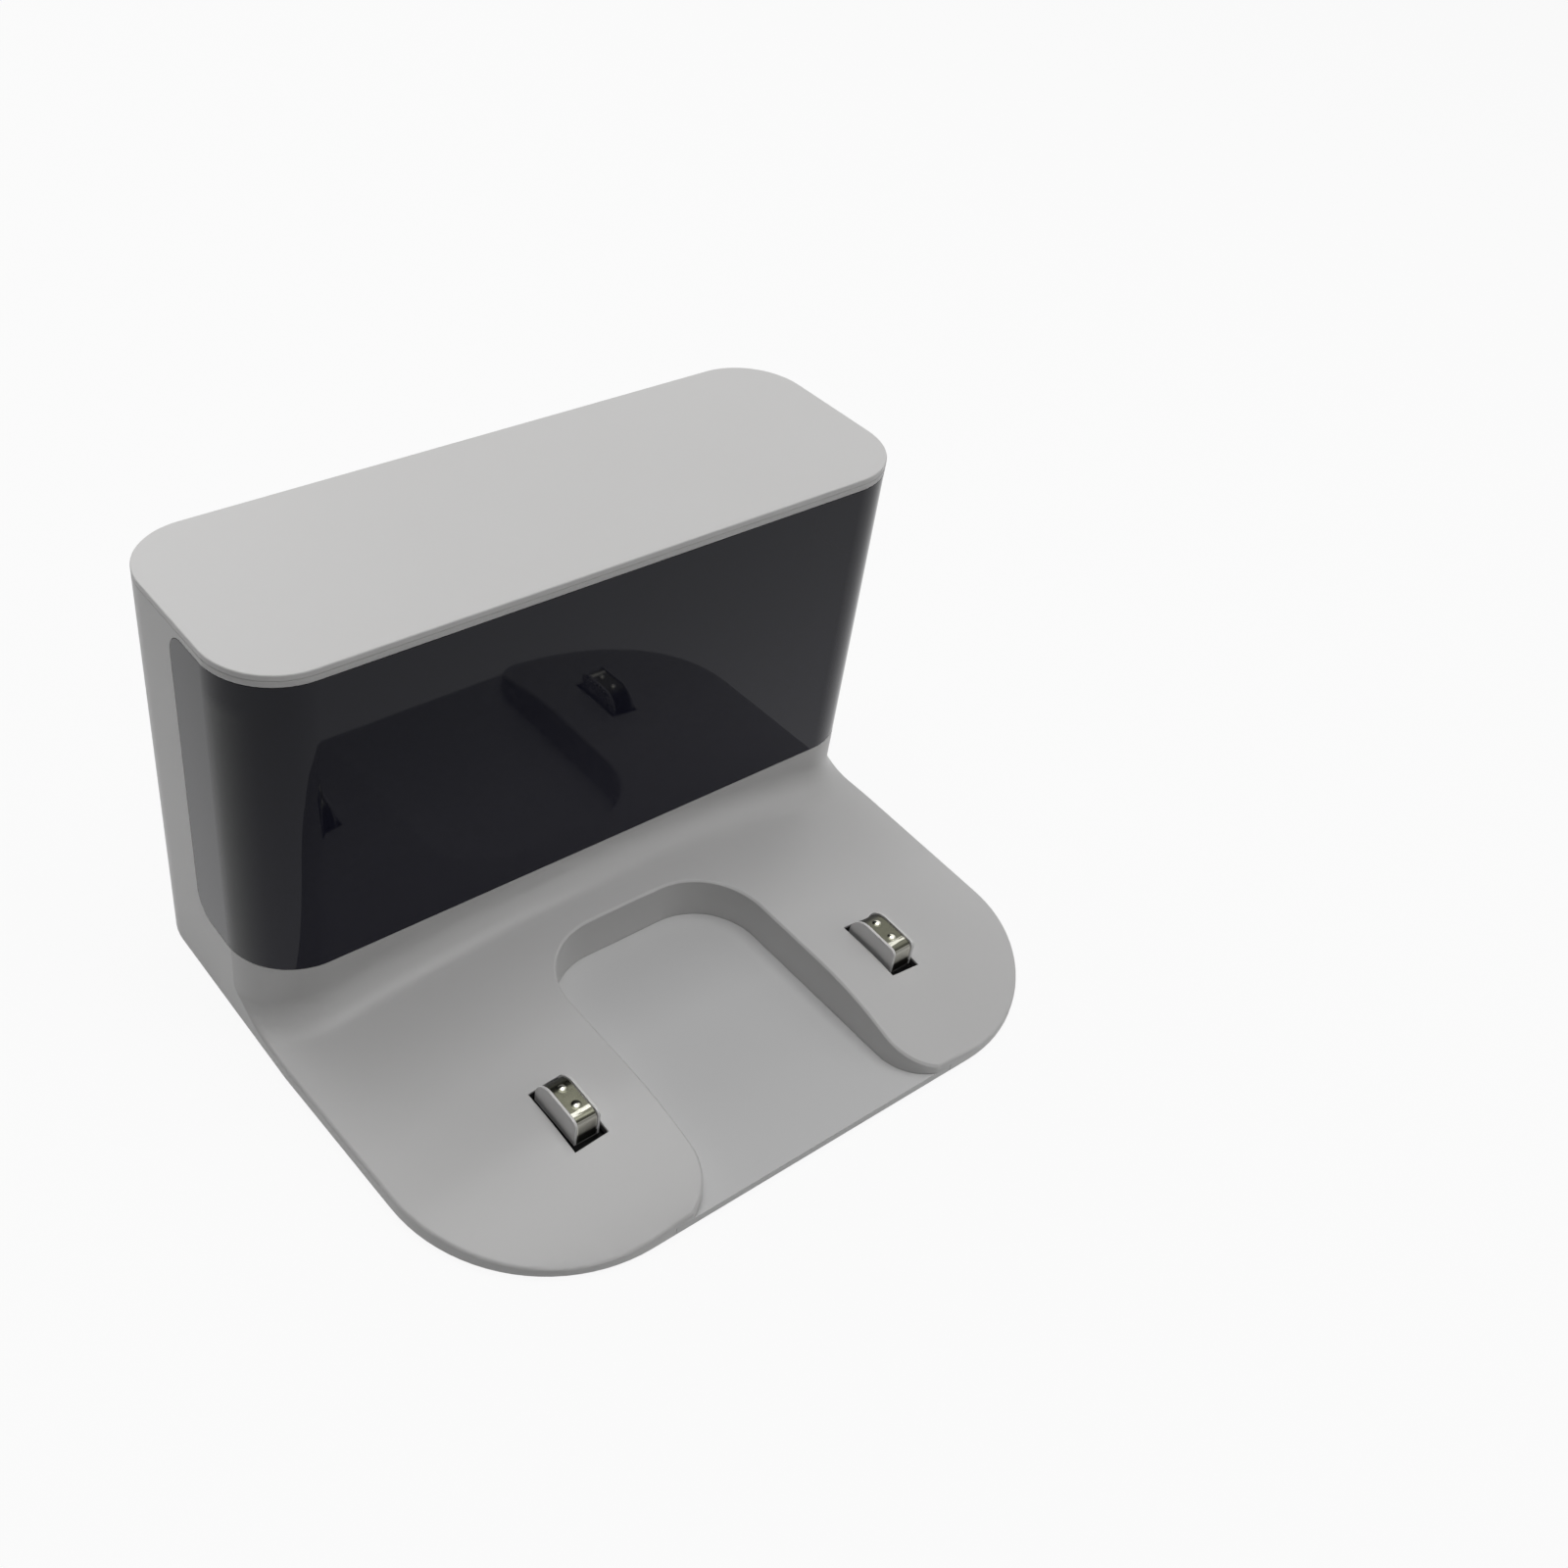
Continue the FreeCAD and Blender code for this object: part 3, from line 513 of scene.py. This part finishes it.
# %% [markdown]
# ## Dressing the CAD pieces
# A CAD node arrives as loose flat triangles. That is fine for a hidden lead, but a curved wall shows its
# facets, and no real moulding has a perfectly sharp edge. Building the pieces anew could drift from the
# CAD's sizes, so each piece in view gets a dressed copy: its doubles are merged, flat fans are joined
# where it gets a bevel, and the light runs smoothly over its curves. A narrow bevel rounds the sharp edges
# that catch the light. The leaf spring under each contact gets a mesh of its own.


# %% Dressed copies
weld_distance = 0.002 * MM
flat_degrees = 0.4


def dressed(node, material, angle=32.0, bevel=0.0):
    """smooth copy of a CAD node, which then stands for it; edges over angle degrees stay sharp, and bevel
    rounds them by that width"""
    mesh = bpy.data.meshes.new(node + "_skin")
    work = bmesh.new()
    work.from_mesh(nodes[node].data)
    bmesh.ops.remove_doubles(work, verts=work.verts, dist=weld_distance)
    if bevel:
        flat = math.radians(flat_degrees)
        bmesh.ops.dissolve_limit(work, angle_limit=flat, verts=work.verts, edges=work.edges)
    for face in work.faces:
        face.smooth = True
    for edge in work.edges:
        edge.smooth = len(edge.link_faces) == 2 and edge.calc_face_angle(0) < math.radians(angle)
    work.to_mesh(mesh)
    work.free()
    mesh.materials.append(material)
    skin = placed(node + "_skin", mesh)
    if bevel:
        round_edges = skin.modifiers.new("rounded edges", "BEVEL")
        round_edges.width, round_edges.segments = bevel, 3
        round_edges.limit_method, round_edges.angle_limit = "ANGLE", math.radians(angle)
    even = skin.modifiers.new("even light on flat faces", "WEIGHTED_NORMAL")
    even.keep_sharp = True
    even.weight = 100
    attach(skin, nodes[node]["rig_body"])
    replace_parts(skin, node)
    return skin


# %% Housing, lid, window, base plate and socket
dressed("housing", housing_white, angle=28.0)
dressed("top_lid", lid_white, bevel=0.06 * MM)
dressed("ir_window", window_black, angle=40.0)
dressed("base_plate", base_white)
dressed("dc_socket", socket_black, bevel=0.3 * MM)

# %% Contacts and feet
for side in ("left", "right"):
    dressed(side + "_contact_carrier", contact_white, bevel=0.18 * MM)
    dressed(side + "_contact_pin", zinc_steel)
    dressed(side + "_contact_bracket", zinc_steel, bevel=0.12 * MM)
    spring = dressed(side + "_contact_spring", zinc_steel)
    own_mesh(spring)
    for place in ("rear", "front"):
        dressed(f"{place}_{side}_foot", foot_rubber, bevel=0.5 * MM)

# %% Materials of the pieces that stay as they came
finish_of = {
    "ballast_plate": ballast_steel, "inner_panel": panel_black, "main_board": board_green,
    "power_lead": lead_black, "left_contact_lead": lead_black, "right_contact_lead": lead_black,
    "left_ir_light": light_smoke, "centre_ir_light": light_smoke, "right_ir_light": light_smoke}
for node, material in finish_of.items():
    nodes[node].data.materials.clear()
    nodes[node].data.materials.append(material)
print("as they came:", len(finish_of))

# %% [markdown]
# ## The contact strips
# Each contact is a strip of nickel-plated brass, bent over a white rocker, with two bumps that were
# pressed into it and touch the robot. A sheet of even thickness is easiest as a surface: a path gives the
# side view, the strip's width gives the second direction, and the bumps lift the surface along its normal.
# Solidify then gives it its thickness and Bevel breaks its cut edges, which catch a thin line of light.

# %% A path with rounded corners
ARC_POINTS = 24


def rounded_path(corners, radii, count):
    """count points, evenly spaced, along straight runs joined by arcs: each arc's centre lies on the
    bisector of its corner, at the radius divided by the sine of half the corner's angle"""
    corners = [np.array(c, float) for c in corners]
    points = [corners[0]]
    for before, here, after, radius in zip(corners, corners[1:], corners[2:], radii):
        back, on = ((end - here) / np.linalg.norm(end - here) for end in (before, after))
        half_angle = np.arccos(np.clip(back @ on, -1, 1)) / 2
        middle = (back + on) / np.linalg.norm(back + on)
        centre = here + middle * radius / np.sin(half_angle)
        first = here + back * radius / np.tan(half_angle) - centre
        last = here + on * radius / np.tan(half_angle) - centre
        start = np.arctan2(first[1], first[0])
        turn = (np.arctan2(last[1], last[0]) - start + np.pi) % (2 * np.pi) - np.pi
        angles = start + turn * np.linspace(0, 1, ARC_POINTS)
        points += list(centre + radius * np.stack([np.cos(angles), np.sin(angles)], 1))
    points = np.array(points + [corners[-1]])
    steps = np.concatenate([[0], np.cumsum(np.linalg.norm(np.diff(points, axis=0), axis=1))])
    where = np.linspace(0, steps[-1], count)
    return np.stack([np.interp(where, steps, points[:, axis]) for axis in (0, 1)], 1)


# %% Meshes from grids
def grid_piece(name, grid, material, body, closed=False):
    """mesh of a grid of points, rows by columns: each face joins a point to its next in the row, the next
    row's next and the next row's own; closed joins the last column to the first"""
    rows, columns = grid.shape[:2]
    across = columns if closed else columns - 1
    row, column = np.meshgrid(np.arange(rows - 1), np.arange(across), indexing="ij")
    following = (column + 1) % columns
    quads = np.stack([row * columns + column, row * columns + following,
                      (row + 1) * columns + following, (row + 1) * columns + column], -1)
    mesh = bpy.data.meshes.new(name)
    mesh.from_pydata(grid.reshape(-1, 3), [], quads.reshape(-1, 4))
    mesh.polygons.foreach_set("use_smooth", np.full(len(mesh.polygons), True))
    mesh.materials.append(material)
    piece = placed(name, mesh)
    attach(piece, body)
    return piece


# %% Sizes of the strips
strip_thick = 0.4 * MM
cut_edge = 0.12 * MM
crest_under_top = 0.38 * MM
crest_fall = 0.60 * MM
bend_radii = (1.6 * MM, 5.5 * MM)
bump_radius, bump_rise = 1.25 * MM, 0.42 * MM
bumps_reach = 3 * MM
PATH_POINTS, WIDTH_POINTS = 260, 61


# %% Contact strips
def contact_strip(side):
    """surface over (s along the path, x across): the path's point, pushed out along the path's normal by
    bump_rise * (1 - (distance / bump_radius)^2)^1.5 round each bump"""
    node = side + "_contact_strip"
    low, high = (np.array(c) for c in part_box(node))
    path_top = high[2] - crest_under_top
    corners = [(low[1], low[2]), (low[1], path_top - crest_fall), (high[1], path_top), (high[1], low[2])]
    path = rounded_path(corners, bend_radii, PATH_POINTS)
    along = np.gradient(path, axis=0)
    along /= np.linalg.norm(along, axis=1)[:, None]
    outward = np.stack([-along[:, 1], along[:, 0]], 1)
    x = np.linspace(low[0], high[0], WIDTH_POINTS)
    grid = np.zeros((len(path), len(x), 3))
    grid[..., 0] = x
    grid[..., 1:] = path[:, None]
    for share in bump_places:
        middle = high[1] - share * (high[1] - low[1])
        away = np.hypot(path[:, None, 0] - middle, x - (low[0] + high[0]) / 2)
        away = np.where(path[:, None, 1] > high[2] - bumps_reach, away, np.inf)
        lift = bump_rise * np.clip(1 - (away / bump_radius) ** 2, 0, 1) ** 1.5
        grid[..., 1:] += lift[..., None] * outward[:, None]
    strip = grid_piece(node + "_sheet", grid, contact_nickel, side + "_contact")
    sheet = strip.modifiers.new("thickness of the sheet", "SOLIDIFY")
    sheet.thickness, sheet.offset = strip_thick, -1.0
    edge = strip.modifiers.new("broken edges", "BEVEL")
    edge.width, edge.segments = cut_edge, 2
    edge.limit_method, edge.angle_limit = "ANGLE", math.radians(60)
    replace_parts(strip, node)
    print(node, "strip box in mm", [np.round(c / MM, 2) for c in (low, high)])


for side in ("left", "right"):
    contact_strip(side)

# %% [markdown]
# ## Screws
# Four pan-head screws hold the base plate, and are seen when the dock is turned over. The outline of a
# screw turned round its axis gives the head and shank. The cross for the driver is pressed into the
# head: where a point lies within either bar of the cross, it is lifted into the head, with a soft ramp.
# Cutting the cross out with a Boolean would work too, but it leaves long thin faces round the cut.

# %% Sizes of a screw
head_radius, head_height, head_round = 2.8 * MM, 1.3 * MM, 0.35 * MM
shank_radius, tip_radius, axis_gap = 1.4 * MM, 0.8 * MM, 0.01 * MM
thread_depth, thread_step = 0.22 * MM, 0.25 * MM
bar_half_width, bar_reach, cross_depth = 0.42 * MM, 1.55 * MM, 0.9 * MM
FACE_RINGS, TURN_POINTS = 26, 72


# %% Screws
def screw(name, x, y, low, high):
    """rings of radius r(u) and height z(u) turned through the angle v; the cross lifts them by cross_depth
    * (1.6 - smaller of |x| and |y| / bar_half_width) * 3 * (1 - larger of |x| and |y| / bar_reach), with
    both factors kept between 0 and 1"""
    face = np.linspace(axis_gap, head_radius - head_round, FACE_RINGS)
    bend = np.linspace(0, np.pi / 2, 6)[1:]
    under_head = low + head_height
    thread_z = np.arange(under_head + 0.5 * MM, high - 0.9 * MM, thread_step)
    thread_r = shank_radius - thread_depth * (np.arange(len(thread_z)) % 2)
    radius = np.concatenate([face, head_radius - head_round + head_round * np.sin(bend),
                             [head_radius, shank_radius, shank_radius], thread_r, [tip_radius, axis_gap]])
    height = np.concatenate([np.full(FACE_RINGS, low), low + head_round - head_round * np.cos(bend),
                             [under_head, under_head, under_head + 0.3 * MM], thread_z,
                             [high - 0.2 * MM, high]])
    angle = np.linspace(0, 2 * np.pi, TURN_POINTS, endpoint=False)
    px, py = radius[:, None] * np.cos(angle), radius[:, None] * np.sin(angle)
    bar = np.minimum(np.abs(px), np.abs(py)) / bar_half_width
    reach = np.maximum(np.abs(px), np.abs(py)) / bar_reach
    pressed = np.clip(1.6 - bar, 0, 1) * np.clip((1 - reach) * 3.0, 0, 1)
    pressed[FACE_RINGS:] = 0
    lifted = height[:, None] + cross_depth * pressed
    grid = np.stack([x + px, y + py, lifted], -1)[:, ::-1]
    return grid_piece(name, grid, zinc_steel, "dock", closed=True)


# %% One screw for each solid of the CAD node
packed = nodes["housing_screws"]
points = np.array([packed.matrix_world @ v.co for v in packed.data.vertices])
low_z, high_z = points[:, 2].min(), points[:, 2].max()
for number, (side, end) in enumerate(((-1, 1), (1, 1), (-1, -1), (1, -1)), 1):
    one = points[(points[:, 0] * side > 0) & (points[:, 1] * end > 0)]
    x, y = (one.min(axis=0)[:2] + one.max(axis=0)[:2]) / 2
    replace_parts(screw(f"base_screw_{number}", x, y, low_z, high_z), "housing_screws")
    print(f"base_screw_{number} at", round(x / MM, 2), round(y / MM, 2))

# %% [markdown]
# ## Floor, sky and lamps
# A studio for white goods: a pale sweep below, and soft light that comes mostly from above, so that the
# lid is lightest, the deck a little darker and the walls clearly in shade. The floor and the sky show as
# white to the camera and in reflections, while the dock still gets only plain, even light. A floor of
# light alone would be simpler, but a share of real floor keeps the dock's soft shadow.

# %% White to the camera
def white_to_camera(f, shader, share, light):
    """share of plain white light over shader for rays from the camera, mirrors and glass; light is the
    kind of node that gives it, Emission on a surface and Background in the sky"""
    rays = f.node("LightPath", {})
    seen = Field(f.tree, rays["Is Camera Ray"]) + Field(f.tree, rays["Is Glossy Ray"])
    seen = maths(f.tree, "MULTIPLY", seen + Field(f.tree, rays["Is Transmission Ray"]), share, clamp=True)
    white = f.node(light, {}, Color=grey(1.0), Strength=1.0)[light]
    return f.node("MixShader", {}, {0: seen, 1: shader, 2: white})["Shader"]


# %% Floor
floor_z = float(cad_low.z) - 0.05 * MM
floor_half, floor_white = 3.0, 0.92
corners = [(x * floor_half, y * floor_half, floor_z) for x, y in ((-1, -1), (1, -1), (1, 1), (-1, 1))]
floor_mesh = bpy.data.meshes.new("floor")
floor_mesh.from_pydata(corners, [], [(0, 1, 2, 3)])
floor = placed("floor", floor_mesh)
sweep = Finish("floor_sweep")
matt = sweep.node("BsdfDiffuse", {}, Color=grey(0.75))["BSDF"]
floor_mesh.materials.append(sweep.closed(white_to_camera(sweep, matt, floor_white, "Emission")))
print("floor", round((float(cad_low.z) - floor_z) / MM, 3), "mm under the feet")

# %% Sky
sky_strength = 0.01
studio = Finish("studio", kind="World")
soft = studio.node("Background", {}, Color=grey(1.0), Strength=sky_strength)["Background"]
bpy.context.scene.world = studio.closed(white_to_camera(studio, soft, 1.0, "Background"))
bpy.context.scene.view_settings.view_transform = "Standard"
print("light from the sky itself:", sky_strength)


# %% Lamps
def lamp(name, place, aim, size, power):
    """square soft lamp at place, turned towards aim; metres and watts"""
    light = bpy.data.lights.new(name, "AREA")
    light.size, light.energy = size, power
    made = placed(name, light)
    made.location = place
    made.rotation_mode = "QUATERNION"
    made.rotation_quaternion = (Vector(aim) - Vector(place)).to_track_quat("-Z", "Y")


middle = (0, 0, 0.05)
lamp("overhead", (0.04, 0.0, 1.58), middle, 1.3, 15.4)
lamp("behind", (0.0, 1.3, 1.1), middle, 1.2, 6.4)
lamp("front right", (1.1, -1.1, 0.9), middle, 1.2, 3.9)
print("lamps:", len(bpy.data.lights))
